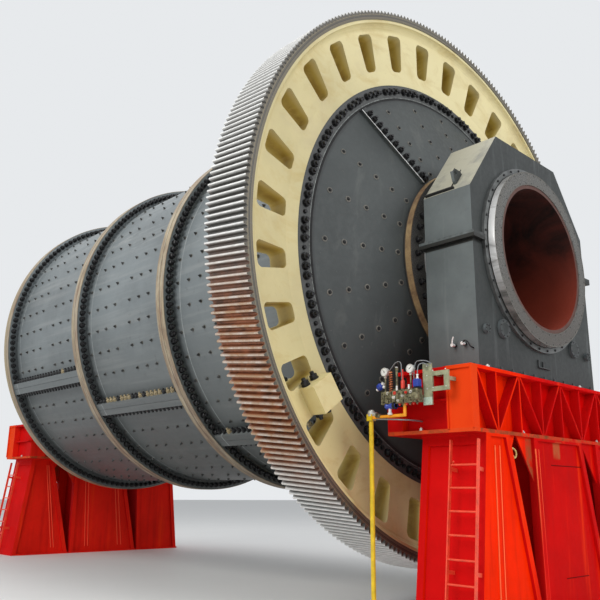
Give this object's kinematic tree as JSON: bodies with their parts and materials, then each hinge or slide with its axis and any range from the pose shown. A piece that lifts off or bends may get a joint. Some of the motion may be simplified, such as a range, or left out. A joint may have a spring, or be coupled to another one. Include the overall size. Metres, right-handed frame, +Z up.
{
  "type": "ball mill",
  "caption": "Horizontal grinding drum with a girth gear, turning in two trunnion bearings on braced steel stands, with ladders and a lubrication board.",
  "frame": {"origin": "on the floor under the middle of the mill's length and width", "axes": "+X along the mill's axis towards the discharge end with the girth gear, +Y to the side away from the lubrication board, +Z up"},
  "size_m": [14.92, 9.9838, 10.392],
  "materials": {
    "shell_paint": "satin dark blue-grey paint",
    "journal_steel": "turned steel",
    "liner_red": "red-brown primer",
    "gear_steel": "cut steel teeth",
    "gear_cream": "cream primer on a casting",
    "housing_paint": "satin grey paint",
    "seal_paint": "dark grey paint",
    "bush_brass": "bronze",
    "stand_red": "glossy red paint",
    "board_paint": "grey-green paint",
    "valve_blue": "blue paint",
    "dial_white": "white dial in a steel case",
    "pipe_yellow": "yellow paint"
  },
  "bodies": {
    "drum": {"feed_shell_can": "shell_paint", "middle_shell_can": "shell_paint", "discharge_shell_can": "shell_paint", "feed_head": "shell_paint", "discharge_head": "shell_paint", "feed_trunnion": "journal_steel", "discharge_trunnion": "journal_steel", "feed_liner": "liner_red", "discharge_liner": "liner_red", "gear_teeth": "gear_steel", "gear_near_half": "gear_cream", "gear_far_half": "gear_cream"},
    "base": {"feed_bearing_housing": "housing_paint", "discharge_bearing_housing": "housing_paint", "feed_bearing_cap": "housing_paint", "discharge_bearing_cap": "housing_paint", "feed_bush": "bush_brass", "discharge_bush": "bush_brass", "feed_seal_rings": "seal_paint", "discharge_seal_rings": "seal_paint", "feed_covers": "housing_paint", "discharge_covers": "housing_paint", "feed_girder": "stand_red", "discharge_girder": "stand_red", "feed_near_stand": "stand_red", "feed_middle_stand": "stand_red", "feed_far_stand": "stand_red", "discharge_near_stand": "stand_red", "discharge_middle_stand": "stand_red", "discharge_far_stand": "stand_red", "feed_braces": "stand_red", "discharge_braces": "stand_red", "feed_ladder": "stand_red", "discharge_ladder": "stand_red", "lube_board": "board_paint", "lube_manifold": "board_paint", "lube_pipes": "pipe_yellow", "lube_valves": "valve_blue", "lube_gauges": "dial_white", "riser_pipe": "pipe_yellow"}
  },
  "joints": [
    {"name": "drum_spin", "type": "hinge", "parent": "base", "child": "drum", "pos_m": [0, 0, 5.4], "axis": [1, 0, 0], "continuous": true}
  ]
}
